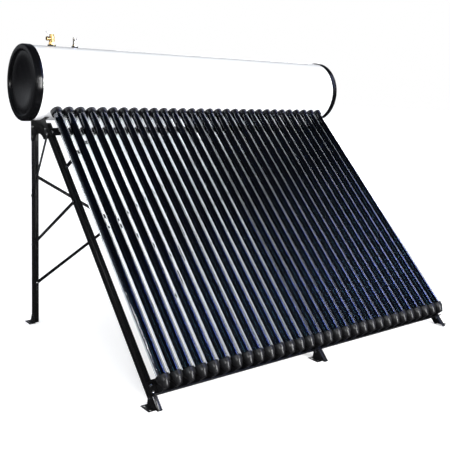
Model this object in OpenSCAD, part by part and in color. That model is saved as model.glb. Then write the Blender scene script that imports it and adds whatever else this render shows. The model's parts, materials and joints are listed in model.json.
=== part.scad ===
// Evacuated-tube solar water heater: a horizontal insulated tank on a steel frame,
// with a row of glass heat-pipe tubes that slope down from it to a tail rail.
// +X runs along the tank, -Y is the sunny side, +Z is up, and the ground is z = 0.

/* [Tubes] */
// Number of glass tubes
tube_count = 30; // [30]
// Distance between tube axes
tube_pitch = 75; // [75:1:80]
// Outer diameter of a glass tube
tube_d = 58; // [58]
// Whole length of a glass tube
tube_len = 1800; // [1750:10:1800]
// Slope of the tubes from the horizontal, in degrees
tilt = 45; // [45:1:46]

/* [Tank] */
// Height of the tank axis above the ground
tank_z = 1520; // [1500:5:1540]
// Radius of the outer casing
casing_r = 225; // [225]
// Radius of the pressure vessel
vessel_r = 185; // [185]
// Length over both end caps
tank_len = 2484; // [2484:4:2500]
// Depth of an end cap along the tank
cap_depth = 48; // [48]

/* [Frame] */
// Distance from the frame's middle to the outer face of a side leg
leg_x = 1140; // [1135:1:1145]
// Width of a leg's web
web_w = 46; // [46]
// Width of a leg's flange
flange_w = 28; // [28]
// Sheet thickness of the frame
sheet = 2.5; // [2.5]
// Distance from the plane of the tube axes to the front of the legs
leg_depth = 68; // [68]
// Distance from the tank axis back to the front of the rear legs
rear_leg_y = 42; // [42]

/* [Hidden] */
$fn = 48;
eps = 0.01;

// Places. "s" is the distance down the slope from the tank axis.
ground_s = (tank_z - leg_depth * cos(tilt)) / sin(tilt);
cup_s = [1939, 2001];
cup_r = 33.5;
cup_tip_r = 13;
front_y = -max(ground_s * cos(tilt) - leg_depth * sin(tilt), cup_s[1] * cos(tilt) + cup_tip_r * sin(tilt));
cap_r = casing_r + 5;
axis_y = -(front_y + cap_r) / 2;
vessel_half = 1140;
dome = 45;
casing_half = tank_len / 2 - 16;
cap_x = tank_len / 2 - cap_depth;
first_x = -(tube_count - 1) * tube_pitch / 2;
tube_xs = [for (i = [0 : tube_count - 1]) first_x + i * tube_pitch];

// Tubes
tube_r = tube_d / 2;
glass = 1.8;
mouth_s = vessel_r + 5;
tip_s = mouth_s + tube_len;
round_s = tip_s - tube_r - 12;
absorber_r = 23.5;
absorber_round_s = round_s - 2;
seal_s = 257;
seal_neck_r = tube_r + 1.8;
well_r = 8.5;
pipe_r = 4;
condenser_r = 7;

// Ports on the tank: [x, outer radius of the pipe]
valve_x = -1045;
outlet_x = -892;
inlet_x = 892;
thread_r = 13.2;
port_gap = 0.1;
grommet_h = 8;
pipe_top = casing_r + 61;

// Rails and cups
rail_s = [318, 360];
tail_s = [1931, 2005];
rail_flange = 18;
tail_flange = 25;
rail_half = leg_x - 2;

// Bolts: M8, with 9 mm holes
bolt_r = 4;
hole_r = 4.5;
head_r = 7.5;
head_h = 5.3;
nut_h = 6.5;
bolt_depth = leg_depth + web_w / 2 + 8;
rear_bolt_y = rear_leg_y + web_w / 2;
saddle_bolts_s = [285, 325];
saddle_bolts_z = [1190, 1250];
rail_bolts_s = [331, 349];
tail_bolts_s = [1951, 1985];
brace_w = 20;
brace_t = 3;
brace_front_s = 823;
brace_high_z = 822;
brace_low_z = 507;
knee_s = 598;
knee_leg_x = flange_w / 2 + 4;
knee_rail_x = leg_x - 282;
knee_rail_s = rail_s[1] - 11;
foot_bolt_z = 38;
cross_low = 262;
cross_high = 950;

// Foot brackets
foot_len = 78;
foot_out = 40;
foot_h = 53;
foot_hole_r = 5;
foot_hole_gap = 54;
foot_toe = 14;

// Relief valve: heights above the tank axis
valve_base = casing_r + 9;
seat_h = 20;
spring_low = 28.6;
spring_high = 45.7;
bonnet_top = 62;
pin_h = 69;
stem_r = 2.2;
run_gap = 0.05;
lever_pin_r = 1.5;

TUBES = [for (i = [1 : tube_count]) str("vacuum_tube_", i < 10 ? "0" : "", i)];

// ---- frames of reference ----

// Origin on the tank axis
module at_axis() { translate([0, axis_y, tank_z]) children(); }

// Origin on the tank axis, local -Z down the slope, local +Y square to it and to the rear
module on_slope() { at_axis() rotate([tilt - 90, 0, 0]) children(); }

// Local Z along the tank
module along_tank() { rotate([0, 90, 0]) children(); }

// One side frame: local x = 0 is the outer face of its webs, +x points to its flanges
module side_frame(i) {
    if (i == 0) translate([-leg_x, 0, 0]) children();
    if (i == 1) translate([-flange_w / 2, 0, 0]) children();
    if (i == 2) translate([leg_x, 0, 0]) mirror([1, 0, 0]) children();
}

// A spot at a depth below the tube axes and a distance down the slope, as [y, z]
function spot(depth, s) = [
    axis_y + depth * sin(tilt) - s * cos(tilt),
    tank_z - depth * cos(tilt) - s * sin(tilt)];

// ---- small helpers ----

module pipe_solid(r_out, r_in, length) {
    difference() {
        cylinder(r = r_out, h = length);
        translate([0, 0, -1]) cylinder(r = r_in, h = length + 2);
    }
}

function arc(r, z0, from, to, n = 8) =
    [for (i = [0 : n]) let (a = from + (to - from) * i / n) [r * cos(a), z0 + r * sin(a)]];

// A glass tube with a round end, drawn from its mouth at -z
module test_tube(r, wall, mouth, round_at, lip = 0) {
    rotate_extrude()
        polygon(concat(
            lip > 0 ? [[r - wall, -mouth], [lip, -mouth], [lip, -mouth - 2], [r, -mouth - 5]]
                    : [[r - wall, -mouth], [r, -mouth]],
            arc(r, -round_at, 0, -90),
            arc(r - wall, -round_at, -90, 0)));
}

// The outline of the vessel with domed ends, as radius and place along it
function vessel_outline(r, half, depth, n = 9) = concat(
    [for (i = [0 : n]) let (a = -90 + 90 * i / n) [r * cos(a), -half + depth * sin(a)]],
    [for (i = [0 : n]) let (a = 90 * i / n) [r * cos(a), half + depth * sin(a)]]);

function reversed(list) = [for (i = [len(list) - 1 : -1 : 0]) list[i]];

module washer() { pipe_solid(8.5, hole_r, sheet); }

// Hex bolt along +z: its head is below z = 0, its nut is above the grip
module hex_bolt(grip) {
    translate([0, 0, -head_h]) cylinder(r = head_r, h = head_h, $fn = 6);
    translate([0, 0, -eps]) cylinder(r = bolt_r, h = grip + nut_h + 3);
    translate([0, 0, grip]) cylinder(r = head_r, h = nut_h, $fn = 6);
}

module bolt_hole(length = 30) { translate([0, 0, -length / 2]) cylinder(r = hole_r, h = length); }

// Puts its children at a [y, z] spot with local z along +x
module at_side(yz) { translate([0, yz[0], yz[1]]) rotate([0, 90, 0]) children(); }

// Puts its children on the slope at a place along x and down the slope, local z to the rear
module at_front(x, s, depth) { translate([x, depth, -s]) rotate([-90, 0, 0]) children(); }

// A flat bar between two [y, z] spots, lying on x = 0 towards +x, with a bolt hole at each end
module side_bar(a, b) {
    along = b - a;
    length = norm(along);
    translate([0, a[0], a[1]]) rotate([atan2(along[1], along[0]), 0, 0])
        difference() {
            translate([0, -brace_w / 2, -brace_w / 2]) cube([brace_t, length + brace_w, brace_w]);
            rotate([0, 90, 0]) bolt_hole();
            translate([0, length, 0]) rotate([0, 90, 0]) bolt_hole();
        }
}

// ---- tank ----

module tank_port_holes(r) {
    for (x = [valve_x, outlet_x]) translate([x, 0, 0]) cylinder(r = r, h = casing_r + 20);
    translate([inlet_x, 0, 0]) mirror([0, 0, 1]) cylinder(r = r, h = casing_r + 20);
}

module saddle_bolt_holes(r) {
    for (i = [0 : 2]) side_frame(i)
        translate([flange_w / 2, 0, -casing_r - 20]) cylinder(r = r, h = 34);
}

module tank_casing() {
    color("white") at_axis() difference() {
        translate([-casing_half, 0, 0]) along_tank()
            pipe_solid(casing_r, casing_r - 0.8, 2 * casing_half);
        rotate([tilt - 90, 0, 0]) for (x = tube_xs)
            translate([x, 0, -casing_r - 20]) cylinder(r = seal_neck_r + 0.2, h = 60);
        tank_port_holes(thread_r + 3);
        saddle_bolt_holes(hole_r);
    }
}

// The cap's outline: a raised ring with a rounded edge around a flat, recessed middle
module end_cap_solid() {
    rim = cap_r - 12;
    rotate_extrude() polygon(concat(
        [[0, 36], [178, 36], [183, 46], [187, cap_depth]],
        [for (a = [90 : -15 : 0]) [rim + 12 * cos(a), cap_depth - 12 + 12 * sin(a)]],
        [[cap_r, 0], [casing_r + 0.4, 0], [casing_r + 0.4, 34]],
        [[216, 43], [188, 43], [182, 32], [0, 32]]));
}

module end_cap_left() {
    color("#1c1d1f") at_axis() translate([-cap_x, 0, 0]) rotate([0, -90, 0]) end_cap_solid();
}

module end_cap_right() {
    color("#1c1d1f") at_axis() translate([cap_x, 0, 0]) rotate([0, 90, 0]) end_cap_solid();
}

module foam_insulation() {
    socket_r = tube_r + 0.3;
    color("#e9dcae") at_axis() difference() {
        translate([0.5 - casing_half, 0, 0]) along_tank()
            cylinder(r = casing_r - 1, h = 2 * casing_half - 1);
        along_tank() rotate_extrude() polygon(vessel_outline(vessel_r + 0.3, vessel_half, dome + 0.3));
        rotate([tilt - 90, 0, 0]) for (x = tube_xs) translate([x, 0, 0]) {
            translate([0, 0, -casing_r - 5]) cylinder(r = socket_r, h = casing_r + 10 - vessel_r);
            translate([0, 0, -casing_r - 5]) cylinder(r = seal_neck_r + 0.2, h = 20);
        }
        tank_port_holes(thread_r + 0.3);
        saddle_bolt_holes(hole_r);
        translate([-casing_half - 1, 0, 0]) along_tank() cylinder(r = 22, h = casing_half - vessel_half);
    }
}

// Pressure vessel with a dry well welded in for the end of each heat pipe
module pressure_vessel() {
    wall = 2;
    well_in = 112;
    color("silver") at_axis() difference() {
        union() {
            along_tank() rotate_extrude() polygon(concat(
                vessel_outline(vessel_r, vessel_half, dome),
                reversed(vessel_outline(vessel_r - wall, vessel_half, dome - wall))));
            rotate([tilt - 90, 0, 0]) for (x = tube_xs)
                translate([x, 0, -vessel_r + 0.5]) cylinder(r = well_r, h = vessel_r - well_in);
        }
        rotate([tilt - 90, 0, 0]) for (x = tube_xs)
            translate([x, 0, -mouth_s]) cylinder(r = condenser_r + 0.3, h = mouth_s - well_in - wall);
        tank_port_holes(thread_r + port_gap);
        translate([-vessel_half - dome - 10, 0, 0]) along_tank() cylinder(r = thread_r + port_gap, h = 60);
    }
}

module magnesium_anode() {
    plug_x = -vessel_half - dome - 0.3;
    color("#a9adb0") at_axis() translate([plug_x, 0, 0]) along_tank() {
        translate([0, 0, -14]) cylinder(r = 18, h = 14, $fn = 6);
        cylinder(r = thread_r, h = 25);
        cylinder(r = 10, h = 620);
    }
}

// Threaded pipe from inside the vessel to above the casing, with a collar on the grommet
module nipple() {
    collar_z = casing_r + grommet_h + 1;
    difference() {
        union() {
            translate([0, 0, vessel_r - 12]) cylinder(r = thread_r, h = pipe_top - vessel_r + 12);
            translate([0, 0, collar_z]) cylinder(r = 17, h = 9, $fn = 6);
        }
        translate([0, 0, vessel_r - 20]) cylinder(r = 10.3, h = 140);
    }
}

module water_nipples() {
    color("#c9ccd0") at_axis() {
        translate([outlet_x, 0, 0]) nipple();
        translate([inlet_x, 0, 0]) mirror([0, 0, 1]) nipple();
    }
}

// ---- relief valve, with its axis as local z and the tank axis at z = 0 ----

module valve_frame() { at_axis() translate([valve_x, 0, 0]) children(); }

module relief_valve_body() {
    chamber_r = 12.5;
    outlet_z = valve_base + 35;
    color("#c9a24a") valve_frame() difference() {
        union() {
            translate([0, 0, vessel_r - 12]) cylinder(r = thread_r, h = valve_base - vessel_r + 13);
            translate([0, 0, valve_base]) cylinder(r = 20, h = 13, $fn = 6);
            translate([0, 0, valve_base + 12]) cylinder(r = 17, h = 38);
            translate([0, 0, valve_base + 50 - eps]) cylinder(r = 14, h = bonnet_top - 50);
            translate([0, 0, outlet_z]) rotate([0, -90, 0]) cylinder(r = 11, h = 35);
            translate([-24, 0, outlet_z]) rotate([0, -90, 0]) cylinder(r = 12.5, h = 11);
        }
        translate([0, 0, vessel_r - 20]) cylinder(r = 8, h = valve_base + seat_h + 30 - vessel_r);
        translate([0, 0, valve_base + seat_h + 4]) cylinder(r = chamber_r, h = 22);
        translate([0, 0, valve_base + 40]) cylinder(r = stem_r + run_gap, h = 40);
        translate([-5, 0, outlet_z]) rotate([0, -90, 0]) cylinder(r = 8, h = 40);
    }
}

// Disc, stem and the eye that the lever's pin passes through
module relief_valve_stem() {
    color("#b8bcc0") valve_frame() difference() {
        union() {
            translate([0, 0, valve_base + seat_h + 4.3]) cylinder(r = 10.5, h = 4);
            translate([0, 0, valve_base + seat_h + 8]) cylinder(r = stem_r, h = pin_h - seat_h - 8);
            translate([-4, -2, valve_base + pin_h - 4]) cube([8, 4, 8]);
        }
        translate([0, -10, valve_base + pin_h]) rotate([-90, 0, 0])
            cylinder(r = lever_pin_r + run_gap, h = 20);
    }
}

// Coil spring between the disc and the bonnet
module relief_valve_spring() {
    turns = 6;
    wire = 0.8;
    coil_r = 7;
    per_turn = 16;
    sides = 6;
    rings = turns * per_turn;
    rise = spring_high - spring_low - 2 * wire;
    points = [for (i = [0 : rings]) for (j = [0 : sides - 1])
        let (turn = 360 * i / per_turn, side = 360 * j / sides, r = coil_r + wire * cos(side))
        [r * cos(turn), r * sin(turn), wire + rise * i / rings + wire * sin(side)]];
    walls = [for (i = [0 : rings - 1]) for (j = [0 : sides - 1])
        let (a = i * sides + j, b = i * sides + (j + 1) % sides) [a, a + sides, b + sides, b]];
    ends = [[for (j = [0 : sides - 1]) j], [for (j = [sides - 1 : -1 : 0]) rings * sides + j]];
    color("#8d9296") valve_frame() translate([0, 0, valve_base + spring_low])
        polyhedron(points = points, faces = concat(walls, ends), convexity = 8);
}

// Test lever: two ears on the pin, cams that bear on the bonnet, and a plate to lift
module relief_valve_lever() {
    ear_gap = 2.6;
    ear_t = 2;
    color("#d9dbdd") valve_frame() translate([0, 0, valve_base + pin_h]) {
        translate([0, -ear_gap - ear_t, 0]) rotate([-90, 0, 0])
            cylinder(r = lever_pin_r, h = 2 * (ear_gap + ear_t));
        for (side = [-1, 1]) translate([0, side > 0 ? ear_gap : -ear_gap - ear_t, 0]) {
            rotate([-90, 0, 0]) cylinder(r = 5.5, h = ear_t);
            translate([-30, 0, -2]) cube([30, ear_t, 9.5]);
            translate([0, 0, -2]) cube([7, ear_t, 4]);
        }
        translate([-36, -9, 6.5]) cube([30, 18, 2]);
    }
}

// ---- tubes ----

module vacuum_tube(i) {
    color("#9fc0d8") on_slope() translate([tube_xs[i], 0, 0]) union() {
        test_tube(tube_r, glass, mouth_s, round_s);
        translate([0, 0, -tip_s]) cylinder(r1 = 1.5, r2 = 4, h = 14);
    }
}

module absorber_tubes() {
    color("#12151d") on_slope() for (x = tube_xs) translate([x, 0, 0])
        test_tube(absorber_r, 1.6, mouth_s + 0.5, absorber_round_s, tube_r - glass - 0.2);
}

// Rolled aluminium sleeve with a cradle for the heat pipe
module absorber_fins() {
    sleeve_r = absorber_r - 1.9;
    color("#c4c8cc") on_slope() for (x = tube_xs) translate([x, 0, -absorber_round_s + 5])
        linear_extrude(height = absorber_round_s - mouth_s - 25) difference() {
            union() {
                difference() { circle(r = sleeve_r); circle(r = sleeve_r - 0.6); }
                circle(r = pipe_r + 1);
                translate([0, -0.4]) square([sleeve_r - 0.3, 0.8]);
            }
            circle(r = pipe_r + 0.2);
            translate([-sleeve_r - 1, -1.5]) square([4, 3]);
        }
}

module heat_pipes() {
    condenser_s = [118, 178];
    color("#b87444") on_slope() for (x = tube_xs) translate([x, 0, 0]) {
        translate([0, 0, -absorber_round_s + 10])
            cylinder(r = pipe_r, h = absorber_round_s - 14 - condenser_s[0]);
        translate([0, 0, -condenser_s[1]]) cylinder(r = condenser_r, h = condenser_s[1] - condenser_s[0]);
    }
}

// Spring clips that hold the inner glass round end off the outer glass, inside the cups
module tube_spring_clips() {
    clip_h = 7;
    color("#c7c9cb") on_slope() for (x = tube_xs) translate([x, 0, -absorber_round_s + 0.5]) difference() {
        union() {
            pipe_solid(absorber_r + 0.9, absorber_r + 0.2, clip_h);
            for (a = [30, 150, 270]) rotate([0, 0, a])
                translate([absorber_r + 0.5, -3, 1]) cube([2.9, 6, clip_h - 2]);
        }
        translate([0, 0, -1]) cylinder(r = absorber_r + 0.2, h = clip_h + 2);
    }
}

// A flanged bush around every tube and a grommet around every pipe, all seated on the casing
module rubber_seals() {
    neck_s = 213;
    color("#18191b") at_axis() {
        rotate([tilt - 90, 0, 0]) for (x = tube_xs) difference() {
            translate([x, 0, 0]) difference() {
                union() {
                    difference() {
                        translate([0, 0, -seal_s]) cylinder(r1 = 34, r2 = 36.8, h = seal_s - casing_r + 5);
                        translate([-50, 0, 0]) along_tank() cylinder(r = casing_r + 0.2, h = 100);
                    }
                    translate([0, 0, -seal_s + 5]) cylinder(r = seal_neck_r, h = seal_s - 5 - neck_s);
                }
                translate([0, 0, -seal_s - 1]) cylinder(r = tube_r + 0.2, h = 60);
            }
        }
        for (port = [[valve_x, 25.5, 1], [outlet_x, 21, 1], [inlet_x, 21, -1]])
            mirror([0, 0, port[2] < 0 ? 1 : 0]) difference() {
                translate([port[0], 0, casing_r - 6]) cylinder(r = port[1], h = grommet_h + 6.5);
                translate([port[0] - 60, 0, 0]) along_tank() cylinder(r = casing_r + 0.2, h = 120);
                translate([port[0], 0, 0]) cylinder(r = thread_r + 0.1, h = casing_r + 40);
            }
    }
}

// ---- tail ----

// A cup on the tube's round end, tapering below to a foot that stands in the rail
module tail_cup() {
    straight = 24;
    floor_t = 3;
    collar = [1.5, 8];
    bore_r = tube_r + 0.4;
    rail_face = leg_depth - sheet - 0.1;
    difference() {
        union() {
            rotate_extrude() polygon([[0, -cup_s[1]], [cup_tip_r, -cup_s[1]], [cup_r, -cup_s[0] - straight],
                [cup_r, -cup_s[0] - collar[1]], [cup_r + collar[0], -cup_s[0] - collar[1]],
                [cup_r + collar[0], -cup_s[0]], [0, -cup_s[0]]]);
            difference() {
                translate([-11, 8, -cup_s[1] + 1]) cube([22, rail_face - 8, 40]);
                translate([-8, 38, -cup_s[1]]) cube([16, rail_face - 41, 50]);
            }
            translate([-2, -cup_r - 0.6, -cup_s[0] - straight - 2]) cube([4, 8, 20]);
        }
        rotate_extrude() polygon([[0, -cup_s[1] + floor_t], [cup_tip_r - floor_t, -cup_s[1] + floor_t],
            [bore_r, -cup_s[0] - straight + 5], [bore_r, -cup_s[0] + 1], [0, -cup_s[0] + 1]]);
    }
}

module tail_cups() { color("#2b2c2e") on_slope() for (x = tube_xs) translate([x, 0, 0]) tail_cup(); }

// ---- frame ----

// C-section rail: its web lies on the legs and its flanges face the tubes
module rail(s, flange, bolts_s) {
    height = s[1] - s[0];
    front = leg_depth - sheet - flange;
    on_slope() difference() {
        translate([-rail_half, front, -s[1]]) cube([2 * rail_half, flange + sheet, height]);
        translate([-rail_half - 1, front - 1, -s[1] + sheet])
            cube([2 * rail_half + 2, flange + 1, height - 2 * sheet]);
        for (i = [0 : 2]) side_frame(i) for (bolt = bolts_s)
            at_front(flange_w / 2, bolt, leg_depth) bolt_hole();
        for (side = [-1, 1]) at_front(side * knee_rail_x, knee_rail_s, leg_depth) bolt_hole();
    }
}

module tail_rail() { color("#1a1b1d") rail(tail_s, tail_flange, tail_bolts_s); }

module upper_rail() { color("#1a1b1d") rail(rail_s, rail_flange, rail_bolts_s); }

// C-section with its web on x = 0 and a shallow rolled groove, running along z
module channel(length) {
    groove = 0.9;
    difference() {
        cube([flange_w, web_w, length]);
        translate([sheet, sheet, -1]) cube([flange_w, web_w - 2 * sheet, length + 2]);
        translate([-1, web_w / 2 - 7, -1]) cube([1 + groove, 14, length + 2]);
    }
}

module front_leg(i) {
    top_s = 264;
    color("#1a1b1d") difference() {
        on_slope() side_frame(i) difference() {
            translate([0, leg_depth, -ground_s - 80]) channel(ground_s + 80 - top_s);
            for (s = saddle_bolts_s) translate([0, bolt_depth, -s]) rotate([0, 90, 0]) bolt_hole();
            translate([0, bolt_depth, -brace_front_s]) rotate([0, 90, 0]) bolt_hole();
            for (s = concat(rail_bolts_s, tail_bolts_s)) at_front(flange_w / 2, s, leg_depth) bolt_hole(10);
            if (i != 1) at_front(knee_leg_x, knee_s, leg_depth) bolt_hole(10);
        }
        side_frame(i) at_side(foot_spot(0)) bolt_hole();
        translate([-2 * leg_x, -3000, -500]) cube([4 * leg_x, 6000, 500]);
    }
}

module rear_leg(i) {
    top_z = 1284;
    color("#1a1b1d") side_frame(i) difference() {
        translate([0, axis_y + rear_leg_y, 0]) channel(top_z);
        for (z = concat(saddle_bolts_z, [brace_high_z, brace_low_z, foot_bolt_z]))
            at_side([axis_y + rear_bolt_y, z]) bolt_hole();
        for (z = [cross_low, cross_high])
            translate([flange_w / 2, axis_y + rear_bolt_y, z]) rotate([90, 0, 0]) bolt_hole(120);
    }
}

// Where a foot bracket's bolt passes: row 0 is the front legs, row 1 is the rear legs
function foot_spot(row) = let (depth = leg_depth + web_w / 2) row == 0
    ? [axis_y + depth * sin(tilt) - (tank_z - depth * cos(tilt) - foot_bolt_z) / tan(tilt), foot_bolt_z]
    : [axis_y + rear_bolt_y, foot_bolt_z];

// Plate outside both legs, with an arch between them. Its bent top edge carries the tank,
// and its bent front edge wraps the front leg
module saddle() {
    front_top = spot(leg_depth - sheet, 262);
    behind_s = rail_s[0] - 2;
    rear_low = spot(leg_depth + web_w, 345);
    rear_y = axis_y + rear_leg_y + web_w + 2;
    flat_y = axis_y - 40;
    flat_z = tank_z - casing_r - 0.5;
    slope = 18;
    lip_x = 25;
    arch_r = 85;
    arch_at = [axis_y - 38, 1131];
    peak_len = 84;
    peak = [flat_y - peak_len * cos(slope), flat_z + peak_len * sin(slope)];
    side_plate_x = -sheet;
    on_slope() translate([-1, leg_depth - sheet - 0.2, -rail_s[0] + 5])
        cube([flange_w + 1, sheet, 50]);
    difference() {
        translate([side_plate_x, 0, 0]) rotate([90, 0, 90]) linear_extrude(height = sheet) difference() {
            polygon([[rear_y, 1165], [rear_y, flat_z], [flat_y, flat_z], peak, front_top,
                     spot(leg_depth - sheet, behind_s), spot(leg_depth + 0.1, behind_s),
                     spot(leg_depth + 0.1, 345), rear_low,
                     [axis_y - 118, 1188], [axis_y + rear_leg_y, 1165]]);
            translate(arch_at) circle(r = arch_r);
        }
        for (s = saddle_bolts_s) at_side(spot(bolt_depth, s)) bolt_hole();
        for (z = saddle_bolts_z) at_side([axis_y + rear_bolt_y, z]) bolt_hole();
    }
    difference() {
        translate([side_plate_x, flat_y, flat_z - sheet]) cube([lip_x + sheet, rear_y - flat_y, sheet]);
        translate([flange_w / 2, axis_y, flat_z]) bolt_hole();
    }
    translate([side_plate_x, flat_y, flat_z]) rotate([-slope, 0, 0])
        translate([0, -peak_len, -sheet]) cube([lip_x + sheet, peak_len + 1, sheet]);
}

module tank_saddles() { color("#1f2022") for (i = [0 : 2]) side_frame(i) saddle(); }

// Two flat bars outside each side frame. The upper one lies on the saddle plate
module side_braces() {
    color("#1a1b1d") for (i = [0 : 2]) side_frame(i) {
        translate([-sheet - brace_t, 0, 0])
            side_bar(spot(bolt_depth, saddle_bolts_s[1]), [axis_y + rear_bolt_y, brace_high_z]);
        translate([-brace_t, 0, 0])
            side_bar(spot(bolt_depth, brace_front_s), [axis_y + rear_bolt_y, brace_low_z]);
    }
}

// A flat bar across the frame between two [x, z] ends, lying towards +y from y = 0
module cross_bar(a, b) {
    along = b - a;
    length = norm(along);
    translate([a[0], 0, a[1]]) rotate([0, -atan2(along[1], along[0]), 0])
        difference() {
            translate([-brace_w / 2, 0, -brace_w / 2]) cube([length + brace_w, brace_t, brace_w]);
            rotate([90, 0, 0]) bolt_hole();
            translate([length, 0, 0]) rotate([90, 0, 0]) bolt_hole();
        }
}

// Two crossed pairs between the rear legs, and a knee from each outer front leg up to the rail
module cross_braces() {
    side_x = leg_x - flange_w / 2;
    front = axis_y + rear_leg_y - brace_t;
    rear = axis_y + rear_leg_y + web_w;
    color("#1a1b1d") {
        translate([0, front, 0]) {
            cross_bar([-side_x, cross_low], [0, cross_high]);
            cross_bar([0, cross_low], [side_x, cross_high]);
        }
        translate([0, rear, 0]) {
            cross_bar([-side_x, cross_high], [0, cross_low]);
            cross_bar([0, cross_high], [side_x, cross_low]);
        }
        on_slope() for (side = [0, 1]) mirror([side, 0, 0]) translate([0, leg_depth + sheet, 0])
            cross_bar([knee_leg_x - leg_x, -knee_s], [-knee_rail_x, -knee_rail_s]);
    }
}

// Angle bolted outside a leg, with two anchor holes in its plate
module foot_bracket(row) {
    at = foot_spot(row);
    plate_y = at[0] - (row == 0 ? foot_toe : 0);
    difference() {
        union() {
            translate([-foot_out, plate_y - foot_len / 2, 0]) cube([foot_out, foot_len, sheet]);
            translate([-sheet, 0, 0]) rotate([90, 0, 90]) linear_extrude(height = sheet)
                polygon([[plate_y - foot_len / 2, 0], [plate_y + foot_len / 2, 0],
                         [at[0] + 16, foot_h], [at[0] - 16, foot_h]]);
        }
        at_side(at) bolt_hole(20);
        for (side = [-1, 1]) translate([-foot_out + 16, plate_y + side * foot_hole_gap / 2, -1])
            cylinder(r = foot_hole_r, h = 10);
    }
}

module foot_brackets() {
    color("#1a1b1d") for (i = [0 : 2]) side_frame(i) for (row = [0, 1]) foot_bracket(row);
}

// Every bolt of the frame, with its nut, and a washer where a brace stands off
module frame_bolts() {
    color("#d5d7d9") {
        for (i = [0 : 2]) side_frame(i) side_frame_bolts();
        on_slope() {
            for (i = [0 : 2]) side_frame(i) for (s = concat(rail_bolts_s, tail_bolts_s))
                at_front(flange_w / 2, s, leg_depth - sheet) hex_bolt(2 * sheet);
            for (side = [-1, 1]) {
                at_front(side * (leg_x - knee_leg_x), knee_s, leg_depth) hex_bolt(sheet + brace_t);
                at_front(side * knee_rail_x, knee_rail_s, leg_depth - sheet) hex_bolt(2 * sheet + brace_t);
                at_front(side * knee_rail_x, knee_rail_s, leg_depth) washer();
            }
        }
        for (x = [-1, 0, 1]) cross_bolts(x);
    }
}

// Bolts through one side frame's webs, saddle plate, side braces and foot brackets
module side_frame_bolts() {
    rear_high = [axis_y + rear_bolt_y, brace_high_z];
    translate([-sheet, 0, 0]) {
        at_side(spot(bolt_depth, saddle_bolts_s[0])) hex_bolt(2 * sheet);
        for (z = saddle_bolts_z) at_side([axis_y + rear_bolt_y, z]) hex_bolt(2 * sheet);
        for (row = [0, 1]) at_side(foot_spot(row)) hex_bolt(2 * sheet);
        at_side(rear_high) washer();
    }
    translate([-sheet - brace_t, 0, 0]) for (at = [spot(bolt_depth, saddle_bolts_s[1]), rear_high])
        at_side(at) hex_bolt(2 * sheet + brace_t);
    rear_low = [axis_y + rear_bolt_y, brace_low_z];
    translate([-brace_t, 0, 0]) for (at = [spot(bolt_depth, brace_front_s), rear_low])
        at_side(at) hex_bolt(sheet + brace_t);
    translate([flange_w / 2, axis_y, tank_z - casing_r - 0.5 - sheet]) saddle_screw();
}

// Screw from below through the saddle's lip into the tank
module saddle_screw() {
    translate([0, 0, -head_h]) cylinder(r = head_r, h = head_h, $fn = 6);
    translate([0, 0, -eps]) cylinder(r = bolt_r, h = 14);
}

// Bolts that hold the cross braces to one rear leg
module cross_bolts(x) {
    at_x = x * (leg_x - flange_w / 2);
    front_z = x < 0 ? [cross_low] : x > 0 ? [cross_high] : [cross_low, cross_high];
    rear_z = x < 0 ? [cross_high] : x > 0 ? [cross_low] : [cross_low, cross_high];
    for (z = front_z) translate([at_x, axis_y + rear_leg_y - brace_t, z]) rotate([-90, 0, 0])
        hex_bolt(brace_t + sheet);
    for (z = rear_z) translate([at_x, axis_y + rear_leg_y + web_w + brace_t, z]) rotate([90, 0, 0])
        hex_bolt(brace_t + sheet);
}

tank_casing();
end_cap_left();
end_cap_right();
foam_insulation();
pressure_vessel();
magnesium_anode();
relief_valve_body();
relief_valve_lever();
relief_valve_stem();
relief_valve_spring();
water_nipples();
rubber_seals();
absorber_tubes();
absorber_fins();
heat_pipes();
tube_spring_clips();
tail_cups();
tail_rail();
upper_rail();
front_leg(0);  // front_leg_left
front_leg(1);  // front_leg_middle
front_leg(2);  // front_leg_right
rear_leg(0);  // rear_leg_left
rear_leg(1);  // rear_leg_middle
rear_leg(2);  // rear_leg_right
tank_saddles();
side_braces();
cross_braces();
foot_brackets();
frame_bolts();
for (i = [0 : tube_count - 1]) vacuum_tube(i);
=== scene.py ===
"""Looks for the solar water heater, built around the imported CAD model. Metres, +Z up."""

import json
import math

import bmesh
import bpy
from mathutils import Matrix, Vector


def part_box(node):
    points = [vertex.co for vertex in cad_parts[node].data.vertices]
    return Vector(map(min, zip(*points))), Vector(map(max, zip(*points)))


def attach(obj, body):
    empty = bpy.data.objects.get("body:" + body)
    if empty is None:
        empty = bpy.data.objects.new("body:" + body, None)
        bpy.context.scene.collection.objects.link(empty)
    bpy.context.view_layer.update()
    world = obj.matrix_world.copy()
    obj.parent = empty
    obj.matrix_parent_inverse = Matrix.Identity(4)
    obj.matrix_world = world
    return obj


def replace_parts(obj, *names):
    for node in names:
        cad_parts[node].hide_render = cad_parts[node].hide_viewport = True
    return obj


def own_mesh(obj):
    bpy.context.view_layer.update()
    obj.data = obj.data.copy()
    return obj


AXIS_Z = 1.52


# ---- the frame and the camera ----

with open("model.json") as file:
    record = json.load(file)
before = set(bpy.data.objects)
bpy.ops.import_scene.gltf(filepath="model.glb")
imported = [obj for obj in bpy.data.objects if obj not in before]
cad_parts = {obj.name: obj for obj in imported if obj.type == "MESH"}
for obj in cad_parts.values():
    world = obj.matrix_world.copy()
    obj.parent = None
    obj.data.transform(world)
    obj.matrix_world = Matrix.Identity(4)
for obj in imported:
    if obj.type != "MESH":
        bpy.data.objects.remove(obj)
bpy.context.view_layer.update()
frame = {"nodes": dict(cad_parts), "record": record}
nodes = frame["nodes"]
scene = bpy.context.scene
for old in [o for o in scene.objects if o.type in ("CAMERA", "LIGHT")]:
    bpy.data.objects.remove(old)
for stray in [o for o in scene.objects if o.type == "MESH" and o.name not in nodes]:
    bpy.data.objects.remove(stray)

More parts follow.
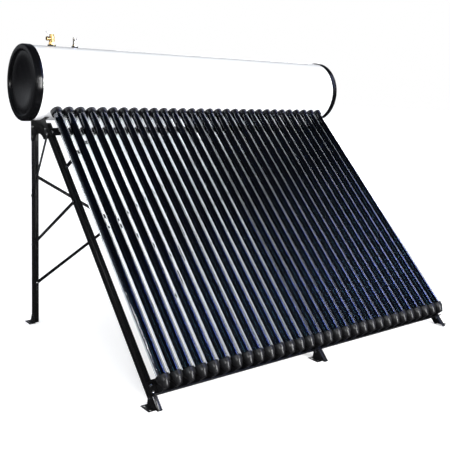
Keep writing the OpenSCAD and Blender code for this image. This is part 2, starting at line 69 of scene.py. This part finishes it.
casing_low, casing_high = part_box("end_cap_left")
AXIS_Y = (casing_low.y + casing_high.y) / 2
CAP_R = (casing_high.y - casing_low.y) / 2


def camera():
    """The photograph's viewpoint, from a camera fitted to it."""
    yaw, pitch, roll = math.radians(37.272), math.radians(8.003), math.radians(-1.981)
    forward = Vector((math.sin(yaw) * math.cos(pitch), math.cos(yaw) * math.cos(pitch), -math.sin(pitch)))
    right = Vector((math.cos(yaw), -math.sin(yaw), 0))
    up = right.cross(forward)
    place = Vector((-2.832, AXIS_Y - 4.0198, 1.5251))
    cam_x = math.cos(roll) * right - math.sin(roll) * up
    cam_y = math.sin(roll) * right + math.cos(roll) * up
    turn = Matrix((cam_x, cam_y, -forward)).transposed()
    data = bpy.data.cameras.new("camera")
    data.sensor_width = 36
    data.lens = 55.32
    data.shift_x = 0.0257
    data.shift_y = -0.0878
    data.clip_end = 200
    obj = bpy.data.objects.new("camera", data)
    obj.matrix_world = Matrix.Translation(place) @ turn.to_4x4()
    scene.collection.objects.link(obj)
    scene.camera = obj


camera()


# ---- material tools ----


def new_material(name, rough=0.5, metal=0.0, coat=0.0, ior=1.5, shine=0.5):
    """A Principled material and its node tree, with the values that are the same all over."""
    mat = bpy.data.materials.new(name)
    mat.use_nodes = True
    tree = mat.node_tree
    shader = tree.nodes["Principled BSDF"]
    shader.inputs["Roughness"].default_value = rough
    shader.inputs["Metallic"].default_value = metal
    shader.inputs["IOR"].default_value = ior
    shader.inputs["Coat Weight"].default_value = coat
    shader.inputs["Coat Roughness"].default_value = 0.05
    shader.inputs["Specular IOR Level"].default_value = shine
    return mat, tree, shader


def noise(tree, scale, detail=3.0, stretch=(1, 1, 1)):
    """Noise in the object's own metres, stretched along an axis for brushed or rolled surfaces."""
    coords = tree.nodes.new("ShaderNodeTexCoord")
    mapping = tree.nodes.new("ShaderNodeMapping")
    mapping.inputs["Scale"].default_value = stretch
    tex = tree.nodes.new("ShaderNodeTexNoise")
    tex.inputs["Scale"].default_value = scale
    tex.inputs["Detail"].default_value = detail
    tree.links.new(coords.outputs["Object"], mapping.inputs["Vector"])
    tree.links.new(mapping.outputs["Vector"], tex.inputs["Vector"])
    return tex.outputs["Fac"]


def remap(tree, value, start, end, low, high):
    """Stretches a value from start..end to low..high, and holds it at those limits."""
    span = tree.nodes.new("ShaderNodeMapRange")
    for socket, number in zip(("From Min", "From Max", "To Min", "To Max"), (start, end, low, high)):
        span.inputs[socket].default_value = number
    tree.links.new(value, span.inputs["Value"])
    return span.outputs["Result"]


def color_steps(tree, value, stops):
    """A colour that runs through the (place, colour) stops as the value goes from 0 to 1."""
    ramp = tree.nodes.new("ShaderNodeValToRGB")
    while len(ramp.color_ramp.elements) < len(stops):
        ramp.color_ramp.elements.new(0.5)
    for element, (place, color) in zip(ramp.color_ramp.elements, stops):
        element.position = place
        element.color = (*color, 1)
    tree.links.new(value, ramp.inputs["Fac"])
    return ramp.outputs["Color"]


# Noise stays near 0.5, so only this stretch of it is spread over a finish's whole range
COLOR_SPAN = (0.35, 0.65)
ROUGH_SPAN = (0.3, 0.7)


def vary_color(tree, shader, fac, dark, light):
    color = color_steps(tree, fac, tuple(zip(COLOR_SPAN, (dark, light))))
    tree.links.new(color, shader.inputs["Base Color"])


def vary_rough(tree, shader, fac, low, high):
    tree.links.new(remap(tree, fac, *ROUGH_SPAN, low, high), shader.inputs["Roughness"])


def bump(tree, shader, fac, depth):
    """Relief of a real depth in metres."""
    node = tree.nodes.new("ShaderNodeBump")
    node.inputs["Strength"].default_value = 1.0
    node.inputs["Distance"].default_value = depth
    tree.links.new(fac, node.inputs["Height"])
    tree.links.new(node.outputs["Normal"], shader.inputs["Normal"])


def surface(name, dark, light, rough, metal=0.0, coat=0.0, grain=60.0, stretch=(1, 1, 1),
            depth=0.0, shine=0.5):
    """Colour and roughness that drift a little over the surface, with a fine relief if depth is set."""
    mat, tree, shader = new_material(name, rough[0], metal, coat, shine=shine)
    broad = noise(tree, grain / 12, 2.0)
    fine = noise(tree, grain, 4.0, stretch)
    vary_color(tree, shader, broad, dark, light)
    vary_rough(tree, shader, fine, rough[0], rough[1])
    if depth:
        bump(tree, shader, fine, depth)
    return mat


def glass_material():
    """Clear, evenly smooth glass with a faint drift in its tint."""
    mat, tree, shader = new_material("tube_glass", 0.01, ior=1.474)
    shader.inputs["Transmission Weight"].default_value = 1.0
    drift = noise(tree, 6.0, 2.0)
    vary_color(tree, shader, drift, (0.93, 0.965, 0.98), (0.98, 0.99, 1.0))
    return mat


# Noise stretched along one axis, for faint streaks along the tank or up the valve
ALONG_TANK = (0.04, 1, 1)
ALONG_POST = (1, 1, 0.04)
FINISHES = {
    "casing_paint": dict(
        dark=(0.86, 0.87, 0.885), light=(0.9, 0.905, 0.915), rough=(0.14, 0.2),
        coat=0.6, grain=30, stretch=ALONG_TANK, depth=0.00004),
    "cap_plastic": dict(
        dark=(0.0022, 0.0022, 0.0025), light=(0.0035, 0.0035, 0.004), rough=(0.14, 0.2),
        grain=900, depth=0.00002, shine=0.15),
    "foam": dict(
        dark=(0.75, 0.66, 0.42), light=(0.85, 0.77, 0.54), rough=(0.85, 0.95),
        grain=500, depth=0.0004),
    "vessel_steel": dict(
        dark=(0.55, 0.56, 0.57), light=(0.63, 0.64, 0.65), rough=(0.28, 0.42),
        metal=1.0, grain=300, stretch=ALONG_TANK, depth=0.00003),
    "anode_magnesium": dict(
        dark=(0.45, 0.46, 0.47), light=(0.6, 0.6, 0.61), rough=(0.5, 0.65),
        metal=1.0, grain=400, depth=0.0001),
    "valve_brass": dict(
        dark=(0.52, 0.34, 0.13), light=(0.62, 0.43, 0.18), rough=(0.28, 0.4),
        metal=1.0, grain=500, stretch=ALONG_POST, depth=0.00003),
    "lever_steel": dict(
        dark=(0.34, 0.345, 0.35), light=(0.42, 0.425, 0.43), rough=(0.34, 0.46),
        metal=1.0, grain=500),
    "stem_steel": dict(
        dark=(0.5, 0.51, 0.52), light=(0.6, 0.61, 0.62), rough=(0.22, 0.3),
        metal=1.0, grain=500),
    "spring_steel": dict(
        dark=(0.4, 0.41, 0.42), light=(0.5, 0.51, 0.52), rough=(0.3, 0.4),
        metal=1.0, grain=500),
    "nipple_steel": dict(
        dark=(0.46, 0.45, 0.44), light=(0.54, 0.53, 0.52), rough=(0.2, 0.32),
        metal=1.0, grain=400),
    "seal_rubber": dict(
        dark=(0.003, 0.003, 0.0035), light=(0.005, 0.005, 0.006), rough=(0.14, 0.22),
        grain=700, depth=0.00004),
    "absorber_coating": dict(
        dark=(0.002, 0.0035, 0.011), light=(0.0035, 0.006, 0.02), rough=(0.1, 0.12),
        metal=0.9, grain=24),
    "fin_aluminium": dict(
        dark=(0.6, 0.61, 0.62), light=(0.7, 0.71, 0.72), rough=(0.3, 0.4),
        metal=1.0, grain=300),
    "pipe_copper": dict(
        dark=(0.62, 0.28, 0.16), light=(0.74, 0.36, 0.22), rough=(0.26, 0.4),
        metal=1.0, grain=300),
    "clip_steel": dict(
        dark=(0.6, 0.61, 0.62), light=(0.7, 0.71, 0.72), rough=(0.25, 0.35),
        metal=1.0, grain=400),
    "cup_moulding": dict(
        dark=(0.005, 0.005, 0.0055), light=(0.009, 0.009, 0.01), rough=(0.26, 0.36),
        grain=900, depth=0.00006, shine=0.3),
    "frame_paint": dict(
        dark=(0.0028, 0.0028, 0.0032), light=(0.005, 0.005, 0.0055), rough=(0.24, 0.34),
        grain=1100, depth=0.00007, shine=0.26),
    "bolt_steel": dict(
        dark=(0.66, 0.67, 0.68), light=(0.78, 0.79, 0.8), rough=(0.18, 0.3),
        metal=1.0, grain=600),
}
MATERIALS = {name: surface(name, **finish) for name, finish in FINISHES.items()}
MATERIALS["tube_glass"] = glass_material()


def dress(obj, slot_name):
    """Gives a piece the finish of one of the record's slots."""
    obj.data.materials.clear()
    obj.data.materials.append(MATERIALS[slot_name])


def add_piece(name, mesh, slot_name, body="heater"):
    """A new piece in the finish of a slot, riding on a CAD body."""
    obj = bpy.data.objects.new(name, mesh)
    scene.collection.objects.link(obj)
    dress(obj, slot_name)
    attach(obj, body)
    return obj


SLOT_OF = {row["node"]: row["material_slot"] for row in frame["record"]["subparts"]}
for node_name, node in nodes.items():
    dress(node, SLOT_OF[node_name])


# ---- moulded and folded pieces with softened edges ----


SHARP = math.radians(32)
FLAT = math.radians(0.5)
SAME_POINT = 0.00001


def softened(node_name, width, piece_name):
    """A copy of a CAD node whose sharp edges are rounded by a real width, so that they catch the light."""
    bm = bmesh.new()
    bm.from_mesh(nodes[node_name].data)
    bmesh.ops.remove_doubles(bm, verts=bm.verts, dist=SAME_POINT)
    bmesh.ops.dissolve_limit(bm, angle_limit=FLAT, verts=bm.verts, edges=bm.edges)
    for face in bm.faces:
        face.smooth = True
    mesh = bpy.data.meshes.new(piece_name)
    bm.to_mesh(mesh)
    bm.free()
    piece = add_piece(piece_name, mesh, SLOT_OF[node_name])
    edge = piece.modifiers.new("edges", "BEVEL")
    edge.width = width
    edge.segments = 2
    edge.limit_method = "ANGLE"
    edge.angle_limit = SHARP
    edge.harden_normals = True
    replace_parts(piece, node_name)


# How wide each node's edges are rounded, in metres
SOFT_EDGES = {
    "tail_cups": 0.0009, "tail_rail": 0.0008, "upper_rail": 0.0008, "front_leg_left": 0.0008,
    "front_leg_middle": 0.0008, "front_leg_right": 0.0008, "rear_leg_left": 0.0008, "rear_leg_middle": 0.0008,
    "rear_leg_right": 0.0008, "tank_saddles": 0.0007, "side_braces": 0.0006, "cross_braces": 0.0006,
    "foot_brackets": 0.0007, "frame_bolts": 0.0005, "rubber_seals": 0.0014,
}
for node_name, edge_width in SOFT_EDGES.items():
    softened(node_name, edge_width, node_name + "_finished")


# ---- end caps ----


def lathe(name, profile, steps):
    """A surface of revolution about +X from (radius, x) points that run round a closed section."""
    bm = bmesh.new()
    rings = []
    for radius, x in profile:
        if radius == 0:
            rings.append([bm.verts.new((x, 0, 0))])
            continue
        angles = [2 * math.pi * i / steps for i in range(steps)]
        rings.append([bm.verts.new((x, radius * math.cos(a), radius * math.sin(a))) for a in angles])
    for low, high in zip(rings, rings[1:]):
        for i in range(steps):
            j = (i + 1) % steps
            if len(low) == 1:
                bm.faces.new((low[0], high[j], high[i]))
            elif len(high) == 1:
                bm.faces.new((low[i], low[j], high[0]))
            else:
                bm.faces.new((low[i], low[j], high[j], high[i]))
    bmesh.ops.recalc_face_normals(bm, faces=bm.faces)
    for face in bm.faces:
        face.smooth = True
    mesh = bpy.data.meshes.new(name)
    bm.to_mesh(mesh)
    bm.free()
    return mesh


def bend(centre, radius, start, end, count):
    """Points along an arc of a section, as (radius, x)."""
    angles = [math.radians(start + (end - start) * i / count) for i in range(count + 1)]
    return [(centre[0] + radius * math.cos(a), centre[1] + radius * math.sin(a)) for a in angles]


CAP_DEPTH, CAP_WALL = 0.048, 0.0046
DISC_R, DISC_FACE, DISC_BACK = 0.118, 0.0345, 0.031
RING_FACE = 0.0352
SHOULDER_R, SHOULDER_BEND = 0.188, 0.006
CROWN_R, CROWN_BEND = 0.2, 0.0052
CROWN_BACK = 0.043
RIM_BEND = 0.011
SKIRT_CHAMFER = 0.0012
CAP_STEPS = 144


def cap_profile():
    """The pressed cap: a flat recessed disc, a soft shoulder and a rounded ring that grips the casing.

    Each point is a radius and a distance out from the cap's open edge."""
    disc = [(0, DISC_FACE), (DISC_R, DISC_FACE), (DISC_R + 0.003, RING_FACE), (SHOULDER_R - 0.002, RING_FACE)]
    shoulder = bend((SHOULDER_R, RING_FACE + SHOULDER_BEND), SHOULDER_BEND, -85, -8, 8)
    crown = bend((CROWN_R, CAP_DEPTH - CROWN_BEND), CROWN_BEND, 165, 90, 6)
    rim = bend((CAP_R - RIM_BEND, CAP_DEPTH - RIM_BEND), RIM_BEND, 90, 2, 10)
    skirt = [(CAP_R, 0.012), (CAP_R, SKIRT_CHAMFER), (CAP_R - SKIRT_CHAMFER, 0)]
    bore = CAP_R - CAP_WALL
    inside = [(bore, 0), (bore, 0.034), (CROWN_R + 0.014, CROWN_BACK), (CROWN_R + 0.003, CROWN_BACK)]
    back = [(SHOULDER_R + 0.002, DISC_BACK), (0, DISC_BACK)]
    return disc + shoulder + crown + rim + skirt + inside + back


def end_caps():
    """Both caps from one outline, the left one mirrored and its faces turned outwards again."""
    for side, node_name in ((-1, "end_cap_left"), (1, "end_cap_right")):
        low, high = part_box(node_name)
        mesh = lathe(node_name + "_moulding", cap_profile(), CAP_STEPS)
        open_edge = high.x if side < 0 else low.x
        turn = Matrix.Diagonal((side, 1, 1, 1))
        mesh.transform(Matrix.Translation((open_edge, AXIS_Y, AXIS_Z)) @ turn)
        if side < 0:
            mesh.flip_normals()
        piece = add_piece(node_name + "_moulding", mesh, "cap_plastic")
        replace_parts(piece, node_name)


end_caps()


# ---- glass tubes ----


TUBE_R, GLASS = 0.029, 0.0018
ABSORBER_R, ABSORBER_WALL = 0.0235, 0.0016
# Distances down the slope from the tank's axis: the mouth, where the round ends start, and the tip
MOUTH_S, ROUND_S, TIP_S = 0.1905, 1.949, 1.9895
ABSORBER_ROUND_S = 1.947
LIP_GAP = 0.0002
EVEN = 0.004
AROUND = 48
DOWN_SLOPE = Matrix.Rotation(math.radians(-90), 4, "Z") @ Matrix.Rotation(math.radians(45), 4, "Y")


def round_end(radius, start, count=9):
    """Radius and distance down the slope along a half-round glass end, without its last point."""
    angles = [math.radians(90 * i / count) for i in range(count)]
    return [(radius * math.cos(a), start + radius * math.sin(a)) for a in angles]


def shell_profile(radius, wall, round_at, mouth, end):
    """A round-ended tube, from inside its end up the bore, over the mouth and down the outside.

    A ring close to each end of the straight parts keeps their shading even over the whole length."""
    bore = radius - wall
    inside = [(0, round_at + bore)] + round_end(bore, round_at)[::-1]
    inside += [(bore, round_at - EVEN), (bore, MOUTH_S + 3 * EVEN), (bore, MOUTH_S)]
    outside = mouth + [(radius, MOUTH_S + 3 * EVEN), (radius, round_at - EVEN)] + round_end(radius, round_at)
    return inside + outside + end


def down_slope(name, mesh, places):
    """Copies of a lathed mesh, laid down the slope from the tank's axis at the given x."""
    bm = bmesh.new()
    for x in places:
        placed = mesh.copy()
        placed.transform(Matrix.Translation((x, AXIS_Y, AXIS_Z)) @ DOWN_SLOPE)
        bm.from_mesh(placed)
        bpy.data.meshes.remove(placed)
    result = bpy.data.meshes.new(name)
    bm.to_mesh(result)
    bm.free()
    return result


def glass_tubes():
    """Thirty clear outer tubes, one piece each, and the coated inner tubes as a single piece."""
    nib = [(0.0042, TIP_S - 0.012), (0.0038, TIP_S - 0.0085), (0.0026, TIP_S - 0.0025), (0, TIP_S)]
    outer = lathe("outer_glass", shell_profile(TUBE_R, GLASS, ROUND_S, [(TUBE_R, MOUTH_S)], nib), AROUND)
    lip_r = TUBE_R - GLASS - LIP_GAP
    lip = [(lip_r, MOUTH_S), (lip_r, MOUTH_S + 0.002), (ABSORBER_R, MOUTH_S + 0.005)]
    tip = [(0, ABSORBER_ROUND_S + ABSORBER_R)]
    section = shell_profile(ABSORBER_R, ABSORBER_WALL, ABSORBER_ROUND_S, lip, tip)
    inner = lathe("inner_glass", section, AROUND)
    places = []
    for node_name in sorted(name for name in nodes if name.startswith("vacuum_tube_")):
        low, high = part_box(node_name)
        places.append((low.x + high.x) / 2)
        name = node_name + "_glass"
        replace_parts(add_piece(name, down_slope(name, outer, places[-1:]), SLOT_OF[node_name]), node_name)
    name = "absorber_tubes_coated"
    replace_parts(add_piece(name, down_slope(name, inner, places), SLOT_OF["absorber_tubes"]), "absorber_tubes")


glass_tubes()


# ---- valve spring ----


SPRING_TURNS, SPRING_STEPS, WIRE_SIDES = 6, 24, 10
WIRE_R = 0.0008


def valve_spring():
    """The return spring: a coil under the bonnet, built at one length; the real one closes up by the stem's
    travel as the stem lifts.
    """
    low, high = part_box("relief_valve_spring")
    centre_x, centre_y = (low.x + high.x) / 2, (low.y + high.y) / 2
    coil_r = (high.x - low.x) / 2 - WIRE_R
    rise = high.z - low.z - 2 * WIRE_R
    count = SPRING_TURNS * SPRING_STEPS
    bm = bmesh.new()
    rings = []
    for i in range(count + 1):
        turn = 2 * math.pi * i / SPRING_STEPS
        ring = []
        for j in range(WIRE_SIDES):
            side = 2 * math.pi * j / WIRE_SIDES
            radius = coil_r + WIRE_R * math.cos(side)
            x = centre_x + radius * math.cos(turn)
            y = centre_y + radius * math.sin(turn)
            z = low.z + WIRE_R + rise * i / count + WIRE_R * math.sin(side)
            ring.append(bm.verts.new((x, y, z)))
        rings.append(ring)
    for first, second in zip(rings, rings[1:]):
        for j in range(WIRE_SIDES):
            k = (j + 1) % WIRE_SIDES
            bm.faces.new((first[j], second[j], second[k], first[k]))
    bm.faces.new(rings[0])
    bm.faces.new(rings[-1][::-1])
    bmesh.ops.recalc_face_normals(bm, faces=bm.faces)
    for face in bm.faces:
        face.smooth = len(face.verts) == 4
    mesh = bpy.data.meshes.new("valve_spring_coil")
    bm.to_mesh(mesh)
    bm.free()
    piece = add_piece("valve_spring_coil", mesh, "spring_steel")
    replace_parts(piece, "relief_valve_spring")
    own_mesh(piece)


valve_spring()


# ---- the stage ----


def area_light(name, place, target, size, power):
    """A lamp of a size in metres and a power in watts, aimed at a target."""
    data = bpy.data.lights.new(name, "AREA")
    data.shape = "RECTANGLE"
    data.size, data.size_y = size
    data.energy = power
    obj = bpy.data.objects.new(name, data)
    obj.location = place
    obj.rotation_euler = (Vector(target) - Vector(place)).to_track_quat("-Z", "Y").to_euler()
    obj.visible_camera = False
    scene.collection.objects.link(obj)


def heading(tree, axis):
    """How far a direction in the world points along an axis, from -1 to 1."""
    coords = tree.nodes.new("ShaderNodeTexCoord")
    dot = tree.nodes.new("ShaderNodeVectorMath")
    dot.operation = "DOT_PRODUCT"
    dot.inputs[1].default_value = axis
    tree.links.new(coords.outputs["Generated"], dot.inputs[0])
    return dot.outputs["Value"]


def combined(tree, operation, first, second):
    node = tree.nodes.new("ShaderNodeVectorMath")
    node.operation = operation
    tree.links.new(first, node.inputs[0])
    tree.links.new(second, node.inputs[1])
    return node.outputs["Vector"]


def sky(tree, color=None):
    """A white sky, or one in the given colour output."""
    shader = tree.nodes.new("ShaderNodeBackground")
    shader.inputs["Color"].default_value = (1, 1, 1, 1)
    if color:
        tree.links.new(color, shader.inputs["Color"])
    return shader.outputs["Background"]


UP, RIGHT, BACK = (0, 0, 1), (1, 0, 0), (0, 1, 0)
UP_SLOPE = (0, math.sqrt(0.5), math.sqrt(0.5))
BLACK, WHITE = (0, 0, 0), (1, 1, 1)
TEAL = (0.07, 0.2, 0.27)
ZENITH_SOFT = (0.7, 0.75, 0.84)
ZENITH_DARK = (0.02, 0.024, 0.035)
FLOOR_GLOW = 0.25
LINE_STRENGTH = 6.0
# Teal and blue lines by how far a direction points to the right: 0 is hard left and 1 is hard right
LINES = (
    (0.0, BLACK), (0.16, BLACK), (0.185, TEAL), (0.2, TEAL), (0.225, BLACK),
    (0.74, BLACK), (0.77, (0.1, 0.2, 0.9)), (0.82, (0.12, 0.24, 0.95)), (0.86, (0.5, 0.54, 0.75)),
    (0.9, BLACK),
)
# What shiny surfaces see from the horizon, at 0, to straight overhead, at 1
HEIGHTS = (
    (0.0, (0.03, 0.03, 0.035)), (0.03, (0.5, 0.52, 0.55)), (0.3, (0.2, 0.22, 0.26)), (0.75, ZENITH_DARK),
)


def mirror_sky(tree):
    """What shiny surfaces see: dark overhead, and coloured lines in front that the tubes reflect.

    The lines fade out up the slope, near the horizon and towards the back."""
    up = heading(tree, UP)
    height = color_steps(tree, up, HEIGHTS)
    right = remap(tree, heading(tree, RIGHT), -1, 1, 0, 1)
    low_half = remap(tree, heading(tree, UP_SLOPE), 0.42, 0.26, 0, LINE_STRENGTH)
    above = remap(tree, up, 0.12, 0.3, 0, 1)
    in_front = remap(tree, heading(tree, BACK), 0.35, 0.15, 0, 1)
    lines = color_steps(tree, right, LINES)
    for mask in (low_half, above, in_front):
        lines = combined(tree, "MULTIPLY", lines, mask)
    return combined(tree, "ADD", height, lines)


def lay_floor():
    """A pale floor that glows a little, so that it stays white, and that shiny surfaces do not see."""
    half, level = 60.0, -0.001
    corners = [(-half, -half, level), (half, -half, level), (half, half, level), (-half, half, level)]
    mesh = bpy.data.meshes.new("floor")
    mesh.from_pydata(corners, [], [(0, 1, 2, 3)])
    floor = bpy.data.objects.new("floor", mesh)
    scene.collection.objects.link(floor)
    mat, _, shader = new_material("floor_pale", 0.9)
    shader.inputs["Base Color"].default_value = (0.95, 0.95, 0.95, 1)
    shader.inputs["Emission Color"].default_value = (1, 1, 1, 1)
    shader.inputs["Emission Strength"].default_value = FLOOR_GLOW
    mesh.materials.append(mat)
    floor.visible_glossy = False


def hang_sky():
    """A white room that lights the heater, a darker one for its reflections, and plain white behind it."""
    world = bpy.data.worlds.new("studio")
    world.use_nodes = True
    scene.world = world
    tree = world.node_tree
    room_color = color_steps(tree, heading(tree, UP), ((0.0, WHITE), (0.6, WHITE), (1.0, ZENITH_SOFT)))
    room = sky(tree, room_color)
    mirror = sky(tree, mirror_sky(tree))
    plain = sky(tree)
    rays = tree.nodes.new("ShaderNodeLightPath")
    shine = tree.nodes.new("ShaderNodeMixShader")
    seen = tree.nodes.new("ShaderNodeMixShader")
    tree.links.new(rays.outputs["Is Glossy Ray"], shine.inputs["Fac"])
    tree.links.new(room, shine.inputs[1])
    tree.links.new(mirror, shine.inputs[2])
    tree.links.new(rays.outputs["Is Camera Ray"], seen.inputs["Fac"])
    tree.links.new(shine.outputs["Shader"], seen.inputs[1])
    tree.links.new(plain, seen.inputs[2])
    tree.links.new(seen.outputs["Shader"], tree.nodes["World Output"].inputs["Surface"])


def set_lights():
    middle = (0, 0, 0.9)
    left_rim = (-1.2, 0.37, AXIS_Z)
    area_light("key", (-3.2, -6.5, 2.4), middle, size=(2.4, 1.4), power=190)
    area_light("side", (-6.0, 0.4, 1.7), middle, size=(0.5, 1.0), power=40)
    area_light("rim_strip", (1.4, -5.6, 1.7), left_rim, size=(0.4, 3.2), power=420)
    area_light("right_wall", (6.0, 5.5, 1.6), middle, size=(7.0, 3.2), power=260)


lay_floor()
hang_sky()
set_lights()
scene.view_settings.view_transform = "Standard"
